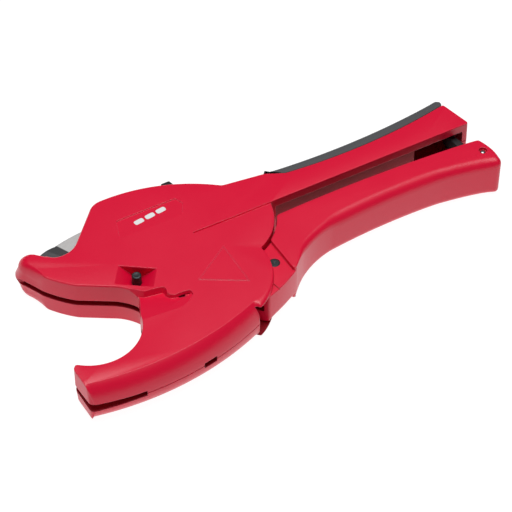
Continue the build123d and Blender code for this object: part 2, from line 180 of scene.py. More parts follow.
def inward(track: Array) -> Array:
    """Find the unit normals of a closed anticlockwise path that point to its inside.

    Args:
        track: The path, n by 2.

    Returns:
        The normals, n by 2.
    """
    tangent = np.roll(track, -1, axis=0) - np.roll(track, 1, axis=0)
    tangent /= np.linalg.norm(tangent, axis=1, keepdims=True)
    return np.stack([-tangent[:, 1], tangent[:, 0]], axis=1)


def signed_area(track: Array) -> float:
    """Return the area inside a closed path, positive where it runs anticlockwise."""
    ahead = np.roll(track, -1, axis=0)
    return 0.5 * float(np.sum(track[:, 0] * ahead[:, 1] - ahead[:, 0] * track[:, 1]))


@dataclass(frozen=True)
class Stretch:
    """One stretch of a wall's outline, up to its end point.

    The foot is the wall's line at the mid-plane and the crest its line at the top face. Between
    them the wall leans in, by lean of the way, and the last rise millimetres are a quarter of an
    ellipse that turns by crown degrees, so a crown under 90 leaves a crisp line at the crest.
    """

    foot: Point
    crest: Point
    foot_via: Point | None = None
    crest_via: Point | None = None
    rise: float = 0.9
    lean: float = 0.5
    crown: float = 90.0


@dataclass
class Wall:
    """A closed wall: the arrays of its stretches, sampled at even steps."""

    foot: Array
    crest: Array
    rise: Array
    lean: Array
    crown: Array

    @classmethod
    def from_stretches(cls, stretches: Sequence[Stretch], ease: float = EASE) -> "Wall":
        """Sample the stretches one after another and ease their corners.

        Args:
            stretches: The stretches in order round the outline.
            ease: Spread of the easing, in millimetres.

        Returns:
            The wall, running anticlockwise.
        """
        feet, crests, traits = [], [], []
        last = stretches[-1]
        for one in stretches:
            reach = math.dist(last.foot, one.foot)
            if one.foot_via is not None:
                reach = math.dist(last.foot, one.foot_via) + math.dist(one.foot_via, one.foot)
            count = max(3, round(reach / STEP))
            feet.append(trace(last.foot, one.foot, one.foot_via, count))
            crests.append(trace(last.crest, one.crest, one.crest_via, count))
            traits.append(np.tile([one.rise, one.lean, one.crown], (count, 1)))
            last = one
        columns = [np.concatenate(part) for part in (feet, crests, traits)]
        table = eased(np.concatenate(columns, axis=1), ease / STEP)
        if signed_area(table[:, :2]) < 0:
            table = table[::-1]
        return cls(table[:, :2], table[:, 2:4], table[:, 4], table[:, 5], np.radians(table[:, 6]))

    def rings(self, low: float, half: float, steps: int = 12) -> list[Array]:
        """Lay the wall's rings from its foot to its crest.

        Args:
            low: Height of the foot.
            half: Height of the crest.
            steps: Number of rings in the rounded part.

        Returns:
            The rings, each n by 3.
        """
        round_from = np.maximum(half - self.rise, low + 0.08)
        made = [lift(self.foot, low)]
        for step in range(steps + 1):
            turn = self.crown * step / steps
            share = self.lean + (1.0 - self.lean) * (1.0 - np.cos(turn)) / (1.0 - np.cos(self.crown))
            height = round_from + (half - round_from) * np.sin(turn) / np.sin(self.crown)
            made.append(lift(self.foot + (self.crest - self.foot) * share[:, None], height))
        return made


def lift(track: Array, height: float | Array) -> Array:
    """Give a flat path its height.

    Args:
        track: The path, n by 2.
        height: One height, or one for each point.

    Returns:
        The path in space, n by 3.
    """
    return np.column_stack([track, np.broadcast_to(height, (len(track),))])


# ---- meshes ---------------------------------------------------------------------------------
def skin(rings: Sequence[Array]) -> Solid:
    """Join closed rings of equal length into a closed skin with a flat cap at either end.

    The quad between ring i and i + 1 at place j has the corners (i, j), (i, j + 1), (i + 1, j + 1)
    and (i + 1, j), which faces outwards when the rings run anticlockwise and climb.

    Args:
        rings: The rings, each n by 3, from the lowest to the highest.

    Returns:
        The points and the faces.
    """
    count, turns = len(rings[0]), len(rings)
    grid = np.arange(turns * count).reshape(turns, count)
    ahead = np.roll(grid, -1, axis=1)
    quads = np.stack([grid[:-1], ahead[:-1], ahead[1:], grid[1:]], axis=-1).reshape(-1, 4)
    faces = quads.tolist() + [grid[0][::-1].tolist(), grid[-1].tolist()]
    return np.concatenate(rings), faces


def prism(outline: Sequence[Point] | Array, low: float | Array, high: float | Array,
          flare: float = 0.0, ease: float = 0.0) -> Solid:
    """Stand a closed solid on an outline.

    Args:
        outline: Corners, or an evenly sampled path.
        low: Height of the floor, one or one for each point.
        high: Height of the top, one or one for each point.
        flare: How far the top stands out beyond the floor.
        ease: Spread that the corners are eased by, in millimetres; 0 keeps them sharp.

    Returns:
        The points and the faces.
    """
    track = np.array(outline, float)
    if signed_area(track) < 0:
        track = track[::-1]
        low, high = np.flip(low), np.flip(high)
    if ease > 0.0:
        track = eased(densified(track), ease / STEP)
    top = track - inward(track) * flare
    return skin([lift(track, low), lift(top, high)])


def densified(corners: Array) -> Array:
    """Return a closed polygon sampled at even steps."""
    ends = np.roll(corners, -1, axis=0)
    return np.concatenate([trace(tuple(a), tuple(b), None, max(1, round(math.dist(a, b) / STEP)))
                           for a, b in zip(corners, ends)])


def slanted(outline: Sequence[Point], top: float, base: Point, run: Point, slope: float) -> Solid:
    """Make the space above a slanted floor: the floor falls from the top along a direction.

    Args:
        outline: Corners of the space.
        top: Height that the floor starts from.
        base: A point on the line where the floor meets the top.
        run: Direction of that line.
        slope: Angle of the floor in degrees.

    Returns:
        The points and the faces.
    """
    track = np.array(outline, float)
    if signed_area(track) < 0:
        track = track[::-1]
    track = eased(densified(track), 0.9)
    length = math.hypot(*run)
    across = np.array([-run[1], run[0]]) / length
    depth = (track - np.array(base)) @ across * math.tan(math.radians(slope))
    wide = track - inward(track) * (0.45 * (np.clip(depth, 0.0, None) + 1.5))[:, None]
    return skin([lift(track, top - depth), lift(wide, top + 1.5)])


def lathe(profile: Sequence[Point], centre: Point, sides: int = 64) -> Solid:
    """Turn a profile about an upright axis.

    A point of the surface is the profile's radius at an angle, at the profile's height.

    Args:
        profile: Radius and height pairs, from the lowest to the highest point of the outside.
        centre: Place of the axis.
        sides: Number of steps round.

    Returns:
        The points and the faces.
    """
    angle = np.arange(sides) * 2.0 * math.pi / sides
    circle = np.stack([np.cos(angle), np.sin(angle)], axis=1)
    return skin([lift(circle * radius + np.array(centre), height) for radius, height in profile])


def flipped(solid: Solid) -> Solid:
    """Return a solid mirrored in the mid-plane, its faces turned so that they still face outwards."""
    points, faces = solid
    return points * np.array([1.0, 1.0, -1.0]), [face[::-1] for face in faces]


def put(name: str, solid: Solid, *coats: Coat) -> Piece:
    """Put a solid into a new object in the frame.

    Args:
        name: Name of the object.
        solid: The points, in millimetres about the mid-plane, and the faces.
        coats: Finishes of its material slots.

    Returns:
        The object.
    """
    points, faces = solid
    mesh = bpy.data.meshes.new(name)
    placed = (points + np.array([0.0, 0.0, HALF])) * MM
    mesh.from_pydata(placed.tolist(), [], faces)
    mesh.update()
    made = bpy.data.objects.new(name, mesh)
    bpy.context.scene.collection.objects.link(made)
    for coat in coats:
        mesh.materials.append(bpy.data.materials[coat.value])
    return made


def join_exactly(target: Piece, solid: Solid, coat: Coat, how: Cut) -> None:
    """Cut a solid out of an object, or add it, with an exact Boolean that is applied at once.

    Args:
        target: The object, whose mesh is replaced.
        solid: The other solid.
        coat: Finish of the faces that it leaves.
        how: Whether it is cut away or added.
    """
    tool = put("tool", solid, coat)
    step = target.modifiers.new("join", "BOOLEAN")
    step.operation = how.value
    step.solver = "EXACT"
    step.material_mode = "TRANSFER"
    step.object = tool
    graph = bpy.context.evaluated_depsgraph_get()
    mesh = bpy.data.meshes.new_from_object(target.evaluated_get(graph))
    target.modifiers.clear()
    old, target.data = target.data, mesh
    bpy.data.meshes.remove(old)
    spare = tool.data
    bpy.data.objects.remove(tool)
    bpy.data.meshes.remove(spare)


def shade(piece: Piece, angle: float = 20.0) -> Piece:
    """Shade a piece smooth, with sharp edges above an angle and wherever two finishes meet.

    Args:
        piece: The piece.
        angle: Largest angle between faces that are shaded as one, in degrees.

    Returns:
        The piece.
    """
    mesh = piece.data
    mesh.shade_smooth()
    mesh.set_sharp_from_angle(angle=math.radians(angle))
    edge_of = np.zeros(len(mesh.loops), np.int32)
    mesh.loops.foreach_get("edge_index", edge_of)
    sizes = np.zeros(len(mesh.polygons), np.int32)
    mesh.polygons.foreach_get("loop_total", sizes)
    kinds = np.zeros(len(mesh.polygons), np.int32)
    mesh.polygons.foreach_get("material_index", kinds)
    kind_of = np.repeat(kinds, sizes)
    lowest = np.full(len(mesh.edges), 99, np.int32)
    highest = np.full(len(mesh.edges), -1, np.int32)
    np.minimum.at(lowest, edge_of, kind_of)
    np.maximum.at(highest, edge_of, kind_of)
    sharp = np.zeros(len(mesh.edges), bool)
    flags = mesh.attributes.get("sharp_edge") or mesh.attributes.new("sharp_edge", "BOOLEAN", "EDGE")
    flags.data.foreach_get("value", sharp)
    flags.data.foreach_set("value", sharp | (lowest != highest))
    mesh.update()
    return piece


# ---- materials ------------------------------------------------------------------------------
def group_of(name: str, inputs: dict[str, float], outputs: dict[str, str]) -> Tree:
    """Start a shader node group with plain number inputs.

    Args:
        name: Name of the group.
        inputs: Default value of each input.
        outputs: Socket type of each output.

    Returns:
        The node tree, with its Group Input and Group Output nodes.
    """
    tree = bpy.data.node_groups.new(name, "ShaderNodeTree")
    for label, value in inputs.items():
        socket = tree.interface.new_socket(label, in_out="INPUT", socket_type="NodeSocketFloat")
        socket.default_value = value
    for label, kind in outputs.items():
        tree.interface.new_socket(label, in_out="OUTPUT", socket_type=kind)
    tree.nodes.new("NodeGroupInput")
    tree.nodes.new("NodeGroupOutput")
    return tree


def noise_in(tree: Tree, scale: float, detail: float, stretch: Sequence[float] = (1, 1, 1),
             roughness: float = 0.5) -> Socket:
    """Add a noise on Object coordinates.

    Args:
        tree: The node tree.
        scale: Waves in a metre.
        detail: Octaves.
        stretch: Scale along each axis.
        roughness: Weight of the finer octaves.

    Returns:
        The noise's value socket.
    """
    place = tree.nodes.new("ShaderNodeTexCoord")
    mapping = tree.nodes.new("ShaderNodeMapping")
    mapping.inputs["Scale"].default_value = stretch
    noise = tree.nodes.new("ShaderNodeTexNoise")
    noise.inputs["Scale"].default_value = scale
    noise.inputs["Detail"].default_value = detail
    noise.inputs["Roughness"].default_value = roughness
    tree.links.new(place.outputs["Object"], mapping.inputs["Vector"])
    tree.links.new(mapping.outputs["Vector"], noise.inputs["Vector"])
    return noise.outputs["Fac"]


def worked(tree: Tree, operation: str, first: object, second: object) -> Socket:
    """Add a Math node.

    Args:
        tree: The node tree.
        operation: Name of the operation.
        first: A socket or a number.
        second: A socket or a number.

    Returns:
        The result's socket.
    """
    node = tree.nodes.new("ShaderNodeMath")
    node.operation = operation
    for slot, value in zip(node.inputs, (first, second)):
        if isinstance(value, Socket):
            tree.links.new(value, slot)
        else:
            slot.default_value = value
    return node.outputs["Value"]


def peel_group() -> Tree:
    """Build the powder coat's surface: fine orange peel, larger flow, and a patchy gloss.

    Height is fine noise plus a third of a coarse one. Gloss is the middle roughness plus a soft
    patchy noise. Shade is a slow variation of brightness about one.

    Returns:
        The group.
    """
    tree = group_of("coat_peel", {"Roughness": 0.4, "Patchiness": 0.06, "Fine": 2600.0},
                    {"Height": "NodeSocketFloat", "Gloss": "NodeSocketFloat", "Shade": "NodeSocketFloat"})
    source, sink = tree.nodes["Group Input"], tree.nodes["Group Output"]
    fine = noise_in(tree, 2600.0, 2.0)
    tree.links.new(source.outputs["Fine"], fine.node.inputs["Scale"])
    flow = noise_in(tree, 700.0, 1.0)
    patch = noise_in(tree, 60.0, 3.0)
    height = worked(tree, "ADD", fine, worked(tree, "MULTIPLY", flow, 0.35))
    centred = worked(tree, "SUBTRACT", patch, 0.5)
    gloss = worked(tree, "ADD", source.outputs["Roughness"],
                   worked(tree, "MULTIPLY", centred, source.outputs["Patchiness"]))
    speck = worked(tree, "MULTIPLY", worked(tree, "SUBTRACT", fine, 0.5), 0.10)
    slow = worked(tree, "ADD", worked(tree, "MULTIPLY", centred, 0.05), 1.0)
    shade_value = worked(tree, "ADD", slow, speck)
    tree.links.new(height, sink.inputs["Height"])
    tree.links.new(gloss, sink.inputs["Gloss"])
    tree.links.new(shade_value, sink.inputs["Shade"])
    return tree


def edge_group() -> Tree:
    """Build the mask of a solid's edges, where a painted highlight goes: how far a rounded normal leans
    away from the true one.

    Returns:
        The group, with the mask and the rounded normal.
    """
    tree = group_of("edge_highlight", {"Radius": 0.0004, "Strength": 6.0},
                    {"Mask": "NodeSocketFloat", "Normal": "NodeSocketVector"})
    source, sink = tree.nodes["Group Input"], tree.nodes["Group Output"]
    bevel = tree.nodes.new("ShaderNodeBevel")
    bevel.samples = 6
    tree.links.new(source.outputs["Radius"], bevel.inputs["Radius"])
    place = tree.nodes.new("ShaderNodeNewGeometry")
    dot = tree.nodes.new("ShaderNodeVectorMath")
    dot.operation = "DOT_PRODUCT"
    tree.links.new(bevel.outputs["Normal"], dot.inputs[0])
    tree.links.new(place.outputs["Normal"], dot.inputs[1])
    lean = worked(tree, "SUBTRACT", 1.0, dot.outputs["Value"])
    mask = worked(tree, "MINIMUM", worked(tree, "MULTIPLY", lean, source.outputs["Strength"]), 1.0)
    tree.links.new(mask, sink.inputs["Mask"])
    tree.links.new(bevel.outputs["Normal"], sink.inputs["Normal"])
    return tree


@dataclass(frozen=True)
class Finish:
    """A finish: a base colour with a fine grain, a patchy gloss, and edges painted lighter as a highlight.
    """

    coat: Coat
    colour: tuple[float, float, float]
    # colour of the painted highlight that the edge mask mixes in
    edge: tuple[float, float, float]
    roughness: float = 0.4
    metallic: float = 0.0
    specular: float = 0.5
    patchiness: float = 0.06
    grain: float = 2600.0
    bump: float = 0.02
    edge_radius: float = 0.0003
    edge_highlight_strength: float = 2.0
    anisotropic: float = 0.0

    def build(self) -> bpy.types.Material:
        """Build the material.

        Returns:
            The material, a Principled shader fed by the grain group and the edge group, whose mask mixes a
            painted highlight into the colour.
        """
        material = bpy.data.materials.new(self.coat.value)
        material.use_nodes = True
        tree = material.node_tree
        shader = tree.nodes["Principled BSDF"]
        shader.inputs["Metallic"].default_value = self.metallic
        shader.inputs["Specular IOR Level"].default_value = self.specular
        shader.inputs["Anisotropic"].default_value = self.anisotropic
        peel = tree.nodes.new("ShaderNodeGroup")
        peel.node_tree = bpy.data.node_groups["coat_peel"]
        peel.inputs["Roughness"].default_value = self.roughness
        peel.inputs["Patchiness"].default_value = self.patchiness
        peel.inputs["Fine"].default_value = self.grain
        edges = tree.nodes.new("ShaderNodeGroup")
        edges.node_tree = bpy.data.node_groups["edge_highlight"]
        edges.inputs["Radius"].default_value = self.edge_radius
        edges.inputs["Strength"].default_value = self.edge_highlight_strength
        base = self.base_colour(tree)
        tint = mixed(tree, "MULTIPLY", 1.0, base, grey_from(tree, peel.outputs["Shade"]))
        # painted highlight: the edges are mixed towards the lighter edge colour
        highlit = mixed(tree, "MIX", edges.outputs["Mask"], tint, self.edge)
        bump = tree.nodes.new("ShaderNodeBump")
        bump.inputs["Strength"].default_value = self.bump
        bump.inputs["Distance"].default_value = MM
        tree.links.new(peel.outputs["Height"], bump.inputs["Height"])
        tree.links.new(edges.outputs["Normal"], bump.inputs["Normal"])
        tree.links.new(highlit, shader.inputs["Base Color"])
        tree.links.new(peel.outputs["Gloss"], shader.inputs["Roughness"])
        tree.links.new(bump.outputs["Normal"], shader.inputs["Normal"])
        return material

    def base_colour(self, tree: Tree) -> object:
        """Return the base colour, plain here and a pattern in the finishes that have one."""
        return self.colour


@dataclass(frozen=True)
class BrushedFinish(Finish):
    """Steel with fine parallel scratches: the noise is stretched along the grinding direction."""

    scratch: tuple[float, float, float] = (60.0, 4000.0, 60.0)
    contrast: float = 0.25

    def base_colour(self, tree: Tree) -> object:
        """Return the colour with its scratches, a darker tone where the stretched noise is low."""
        lines = noise_in(tree, 1.0, 3.0, self.scratch, 0.6)
        dark = tuple(value * (1.0 - self.contrast) for value in self.colour)
        return mixed(tree, "MIX", lines, dark, self.colour)


@dataclass(frozen=True)
class BladeFinish(BrushedFinish):
    """Blade steel whose ground tip is dark: a mask by the distance past the grinding's edge."""

    tip: tuple[float, float, float] = (0.09, 0.09, 0.095)
    border_from: Point = (-41.6, 55.5)
    border_to: Point = (-38.8, 49.7)

    def base_colour(self, tree: Tree) -> object:
        """Return the steel's colour to the right of the border and the tip's to the left."""
        steel = BrushedFinish.base_colour(self, tree)
        run = (self.border_to[0] - self.border_from[0], self.border_to[1] - self.border_from[1])
        length = math.hypot(*run)
        across = (run[1] / length, -run[0] / length, 0.0)
        place = tree.nodes.new("ShaderNodeTexCoord")
        dot = tree.nodes.new("ShaderNodeVectorMath")
        dot.operation = "DOT_PRODUCT"
        dot.inputs[1].default_value = across
        tree.links.new(place.outputs["Object"], dot.inputs[0])
        offset = (self.border_from[0] * across[0] + self.border_from[1] * across[1]) * MM
        past = worked(tree, "SUBTRACT", dot.outputs["Value"], offset)
        mask = tree.nodes.new("ShaderNodeMapRange")
        mask.inputs["From Min"].default_value = -0.0002
        mask.inputs["From Max"].default_value = 0.0002
        tree.links.new(past, mask.inputs["Value"])
        return mixed(tree, "MIX", mask.outputs["Result"], steel, self.tip)


def grey_from(tree: Tree, value: Socket) -> Socket:
    """Return a value as a grey colour socket."""
    node = tree.nodes.new("ShaderNodeCombineColor")
    for slot in node.inputs:
        tree.links.new(value, slot)
    return node.outputs["Color"]


def mixed(tree: Tree, blend: str, share: object, first: object, second: object) -> Socket:
    """Add a colour mix.

    Args:
        tree: The node tree.
        blend: Name of the blend type.
        share: Socket or number of the second colour's share.
        first: Socket or colour.
        second: Socket or colour.

    Returns:
        The result's socket.
    """
    node = tree.nodes.new("ShaderNodeMix")
    node.data_type = "RGBA"
    node.blend_type = blend
    slots = [node.inputs[place] for place in (MIX_SHARE, MIX_FIRST, MIX_SECOND)]
    for slot, value in zip(slots, (share, first, second)):
        if isinstance(value, Socket):
            tree.links.new(value, slot)
        elif isinstance(value, (int, float)):
            slot.default_value = value
        else:
            slot.default_value = (*value, 1.0)
    return node.outputs[MIX_RESULT]


RED = (0.76, 0.001, 0.038)
# lighter red painted on the edges as a highlight
RED_EDGE_HIGHLIGHT = (0.92, 0.10, 0.17)


def finishes() -> list[Finish]:
    """Return every finish of the tool."""
    # the second colour of each finish is its painted edge highlight
    return [
        Finish(Coat.RED, RED, RED_EDGE_HIGHLIGHT, roughness=0.34, bump=0.07, edge_radius=0.00035, edge_highlight_strength=3.0),
        Finish(Coat.RED_CUT, RED, RED_EDGE_HIGHLIGHT, roughness=0.36, bump=0.07, edge_radius=0.00035,
               edge_highlight_strength=3.0),
        Finish(Coat.RED_INSIDE, (0.45, 0.002, 0.02), RED_EDGE_HIGHLIGHT, roughness=0.55, bump=0.16, grain=1500.0),
        Finish(Coat.RUBBER, (0.075, 0.075, 0.08), (0.13, 0.13, 0.135), roughness=0.62, bump=0.25,
               grain=3500.0),
        Finish(Coat.BLACK, (0.012, 0.012, 0.014), (0.05, 0.05, 0.055), roughness=0.5, bump=0.12),
        Finish(Coat.BLACK_STEEL, (0.05, 0.055, 0.06), (0.2, 0.21, 0.22), roughness=0.38, metallic=0.7,
               bump=0.08),
        BrushedFinish(Coat.STEEL, (0.42, 0.42, 0.43), (0.6, 0.6, 0.6), roughness=0.3, metallic=1.0,
                      bump=0.04),
        BladeFinish(Coat.BLADE, (0.80, 0.80, 0.79), (0.85, 0.85, 0.85), roughness=0.42, metallic=0.85,
                    bump=0.04, scratch=(700.0, 5000.0, 300.0), contrast=0.16),
        Finish(Coat.SPRING, (0.5, 0.5, 0.52), (0.6, 0.6, 0.6), roughness=0.28, metallic=1.0),
        Finish(Coat.BRONZE, (0.50, 0.28, 0.10), (0.7, 0.45, 0.2), roughness=0.35, metallic=1.0),
        Finish(Coat.NYLON, (0.75, 0.72, 0.62), (0.8, 0.78, 0.7), roughness=0.5),
        Finish(Coat.PRINT, (0.84, 0.85, 0.85), (0.9, 0.9, 0.9), roughness=0.45, bump=0.03),
    ]


# ---- case -----------------------------------------------------------------------------------
@dataclass
class Case:
    """The two shells of the head and the fixed handle, which meet at the parting line."""

    seat_r: float = 21.2
    seat_crest_r: float = 21.9
    rim_r: float = 31.3
    rim_crest_r: float = 30.3
    bay_r: float = 29.7
    hub_bay_r: float = 14.6
    tail_bay_r: float = 25.2
    reach_r: float = 46.0
    bay_half: float = 9.0
    slot_half: float = 1.5
    hollow_half: float = 8.1
    window_half: float = 5.5
    wells: tuple[Point, ...] = ((5.0, 53.5), (43.0, 34.5), (-38.0, -31.2), (74.0, 29.2), (120.0, 28.4))
    well_r: float = 3.0
    well_depth: float = 4.5
    pieces: list[Piece] = field(default_factory=list)

    def stretches(self, lower: bool = False) -> list[Stretch]:
        """Return the outline's stretches, clockwise from the pipe seat's right end.

        Args:
            lower: Whether they are for the lower shell, whose jaw end has a large round below.

        Returns:
            The stretches.
        """
        full = HALF - LIP
        rim = {"rise": full, "lean": 0.0, "crown": 62.0}
        nose = {"rise": 6.0, "lean": 0.25, "crown": 84.0}
        back = {"rise": 2.2, "lean": 0.25}
        jaw_low = Stretch((-71.5, -32.9), (-71.1, -28.2), rise=1.0)
        jaw_end = Stretch((-71.7, -19.4), (-71.1, -18.5), rise=1.1)
        if lower:
            jaw_low = Stretch((-71.5, -32.9), (-67.4, -28.7), rise=4.6, lean=0.05)
            jaw_end = Stretch((-71.7, -19.4), (-67.4, -20.0), rise=4.6, lean=0.05)
        return [
            Stretch(polar(self.seat_r, -12, THROAT), polar(self.seat_crest_r, -12.5, THROAT),
                    polar(self.seat_r, -73, THROAT), polar(self.seat_crest_r, -73, THROAT)),
            Stretch((-28.3, 4.6), (-26.9, 4.4)),
            Stretch((-37.2, 14.2), (-36.5, 15.0), (-31.8, 9.7), (-30.9, 10.6)),
            Stretch((-49.4, 22.0), (-48.3, 22.8)),
            Stretch((-59.7, 34.7), (-58.3, 34.7), (-55.4, 28.5), (-54.2, 28.9)),
            Stretch((-64.1, 43.9), (-60.0, 43.2), (-62.2, 40.0), (-58.6, 39.0), **nose),
            Stretch((-63.9, 52.3), (-58.6, 47.6), (-65.5, 48.4), (-60.2, 46.0), **nose),
            Stretch((-56.6, 51.5), (-55.2, 46.7), (-60.4, 53.6), (-56.9, 47.8), **nose),
            Stretch((-51.6, 47.0), (-52.7, 43.6), (-54.1, 49.6), (-53.9, 45.1), **nose),
            Stretch((-45.0, 42.6), (-46.9, 40.5), (-49.8, 44.0), (-50.4, 41.8), **back),
            Stretch((-37.6, 45.6), (-37.0, 44.0), (-41.0, 43.3), (-42.6, 40.9), **back),
            Stretch((-23.5, 60.5), (-22.6, 58.6), **back),
            Stretch((-16.5, 64.0), (-16.6, 61.8), (-20.6, 62.9), (-20.2, 60.8), **back),
            Stretch((35.5, 44.8), (35.3, 42.9), (11.0, 59.2), (10.8, 57.1), **back),
            Stretch((55.5, 41.6), (55.4, 39.6), **back),
            Stretch((64.0, 35.9), (64.0, 35.5), rise=0.7),
            Stretch((150.7, 37.4), (150.6, 37.0), (99.0, 33.3), (99.0, 32.9), rise=0.6),
            Stretch((154.0, 20.6), (153.8, 21.1), rise=0.6),
            Stretch(polar(28.8, -10.0, TAB), (48.3, 23.5), rise=0.8),
            Stretch(polar(28.8, -66.0, TAB), polar(28.6, -66.0, TAB), polar(28.8, -38, TAB),
                    polar(28.6, -38, TAB), rise=0.5),
            Stretch(polar(self.rim_r, 3.0), polar(self.rim_crest_r, 3.0), rise=1.4, lean=0.1),
            Stretch(polar(self.rim_r, -67.0), (12.2, -24.2), polar(self.rim_r, -32),
                    polar(self.rim_crest_r, -32), rise=1.6, lean=0.1),
            Stretch((-70.8, -33.9), (-71.1, -28.4), (-34.4, -38.25), (-34.6, -32.7), **rim),
            jaw_low,
            jaw_end,
            Stretch(polar(self.seat_r, -134, THROAT), polar(self.seat_crest_r, -134.5, THROAT)),
        ]

    def outer(self, lower: bool = False) -> Solid:
        """Lay the closed outer body of a half case, with its small round at the parting line.

        Args:
            lower: Whether it is the lower shell's, still on the upper side.

        Returns:
            The points and the faces.
        """
        wall = Wall.from_stretches(self.stretches(lower))
        lip = lift(wall.foot + inward(wall.foot) * LIP, 0.0)
        return skin([lip, *wall.rings(LIP, HALF)])

    def bay(self) -> Solid:
        """Return the space that the handle's tongue swings in, open past the head's round end."""
        spans = [(self.hub_bay_r, 15.0, 252.0), (self.tail_bay_r, 252.0, 293.0),
                 (self.reach_r, 293.0, 363.0), (self.bay_r, 363.5, 374.0)]
        fan = [polar(radius, turn)
               for radius, first, last in spans for turn in np.linspace(first, last, 40)]
        return prism(fan, -1.0, self.bay_half)

    def blade_slot(self) -> Solid:
        """Return the space of the blade, a fan about the main pivot."""
        spans = [(59.8, 74.0, 98.0), (63.4, 98.0, 113.0), (78.0, 113.0, 144.3), (90.0, 144.3, 218.6),
                 (42.0, 218.6, 250.0), (29.7, 250.0, 434.0)]
        fan = [polar(radius, turn)
               for radius, first, last in spans for turn in np.linspace(first, last, 15)]
        return prism(fan, -1.0, self.slot_half)

    def jaw_gap(self) -> Solid:
        """Return the wedge that widens the slot towards the jaw's outer corner.

        Its height is a plane, 1.3 mm where the slot ends and 2.2 at the outer corner.

        Returns:
            The points and the faces.
        """
        corners = np.array([(-80.0, -17.0), (-80.0, -48.0), (-48.0, -48.0), (-48.0, -26.0)])
        height = -3.669 - 0.0499 * corners[:, 0] - 0.0674 * corners[:, 1]
        return prism(corners, np.full(len(corners), -1.0), height)

    def hollow(self) -> Solid:
        """Return the hollow of the fixed handle."""
        return prism([(54, 25.6), (151.7, 23.6), (150.2, 33), (148, 34.4), (110, 31.6), (80, 31.8),
                      (66, 33.2), (54, 37.0)], -1.0, self.hollow_half)

    def window(self) -> Solid:
        """Return the latch window in the fixed handle's inner wall."""
        return prism([(125.5, 18.0), (150.8, 18.0), (150.8, 27.0), (125.5, 27.0)], -1.0, self.window_half)

    def inner_channel(self) -> Solid:
        """Return the shallow channel along the fixed handle's inner wall."""
        return prism([(51.0, 18.0), (152.0, 17.0), (150.0, 22.2), (51.5, 24.2)], -1.0, 6.4)

    def release_bay(self) -> Solid:
        """Return the bay that the release lever swings in, open through the back of the head."""
        return prism([(20, 8), (37, 12), (37, 22), (34.8, 30), (28.8, 54), (28.5, 66), (11, 70),
                      (12.5, 40), (13, 24)], -1.0, 3.0)

    def lock_pocket(self) -> Solid:
        """Return the lock's pocket: a V-shaped trough with softened upper edges.

        Its rings are rectangles in a frame turned by the pocket's angle: the length shrinks
        evenly with depth down to a narrow floor, and the width stays.

        Returns:
            The points and the faces.
        """
        half_length, depth, turn = 8.3, 7.3, math.radians(-36.5)
        width = np.array([-6.7, 3.7])
        levels = [(-depth, 0.2, 0.0), (-0.35, half_length * (1.0 - 0.35 / depth), 0.0),
                  (0.05, half_length + 0.3, 0.35), (1.5, half_length + 0.5, 0.5)]
        along = np.array([math.cos(turn), math.sin(turn)])
        across = np.array([-along[1], along[0]])
        rings = []
        for height, reach, flare in levels:
            low, high = width[0] - flare, width[1] + flare
            corners = np.array([(-reach, low), (reach, low), (reach, high), (-reach, high)])
            flat = np.array(LOCK_PIN) + corners[:, :1] * along + corners[:, 1:] * across
            rings.append(lift(flat, HALF + height))
        return skin(rings)

    def seat_ramp(self) -> list[Solid]:
        """Return the spaces above the shallow ramp at the seat's upper corner.

        The ramp has two slopes: a gentle one from its outer line, and a steeper one that starts
        at an inner line and runs down to the wall.

        Returns:
            The two spaces.
        """
        wall = [(-8.3, -7.0), (-8.5, -5.6), (-9.1, -5.0), (-12.5, -4.6), (-15.4, -4.5), (-17.3, -3.2),
                (-18.2, -1.2), (-17.8, 1.8), (-26.0, 3.5), (-31.0, 8.0), (-38.0, 6.0)]
        outer = [(-38.0, -9.2), (-31.4, -9.7), (-25.9, -10.2), (-19.1, -11.1), (-15.5, -11.2),
                 (-12.1, -10.2)]
        inner = [(-38.0, -5.0), (-29.7, -5.3), (-19.4, -8.4)]
        return [slanted(outer + wall, HALF, (-31.4, -9.7), (12.3, -1.4), 9.0),
                slanted(inner + wall[1:], HALF - 0.55, (-29.7, -5.5), (10.3, -2.4), 13.0)]

    def panel(self) -> Solid:
        """Return the shallow panel below the back's edge; its floor rises to nothing at the bottom."""
        edge = [(-16.0, 47.6), (0.6, 47.2), (13.0, 46.8), (14.7, 42.8), (10.5, 35.5), (-20.0, 36.5)]
        return slanted(edge, HALF, (-20.0, 37.5), (30.0, -1.0), 2.4)

    def groove(self) -> Solid:
        """Return the narrow groove that carries the fixed handle's inner edge on into the head."""
        edge = [(9.6, 24.2), (30.0, 22.9), (48.9, 22.3), (48.9, 23.1), (30.0, 23.5)]
        return slanted(edge, HALF, (9.0, 22.2), (40.0, -0.9), 24.0)

    def carve(self, shell: Piece, mirrored: bool) -> None:
        """Cut what both shells share.

        Args:
            shell: The shell's outer body.
            mirrored: Whether it is the lower shell.
        """
        spaces = [self.bay(), self.blade_slot(), self.jaw_gap(), self.hollow(), self.window(),
                  self.release_bay(), self.inner_channel()]
        for space in spaces:
            join_exactly(shell, flipped(space) if mirrored else space, Coat.RED_INSIDE, Cut.AWAY)

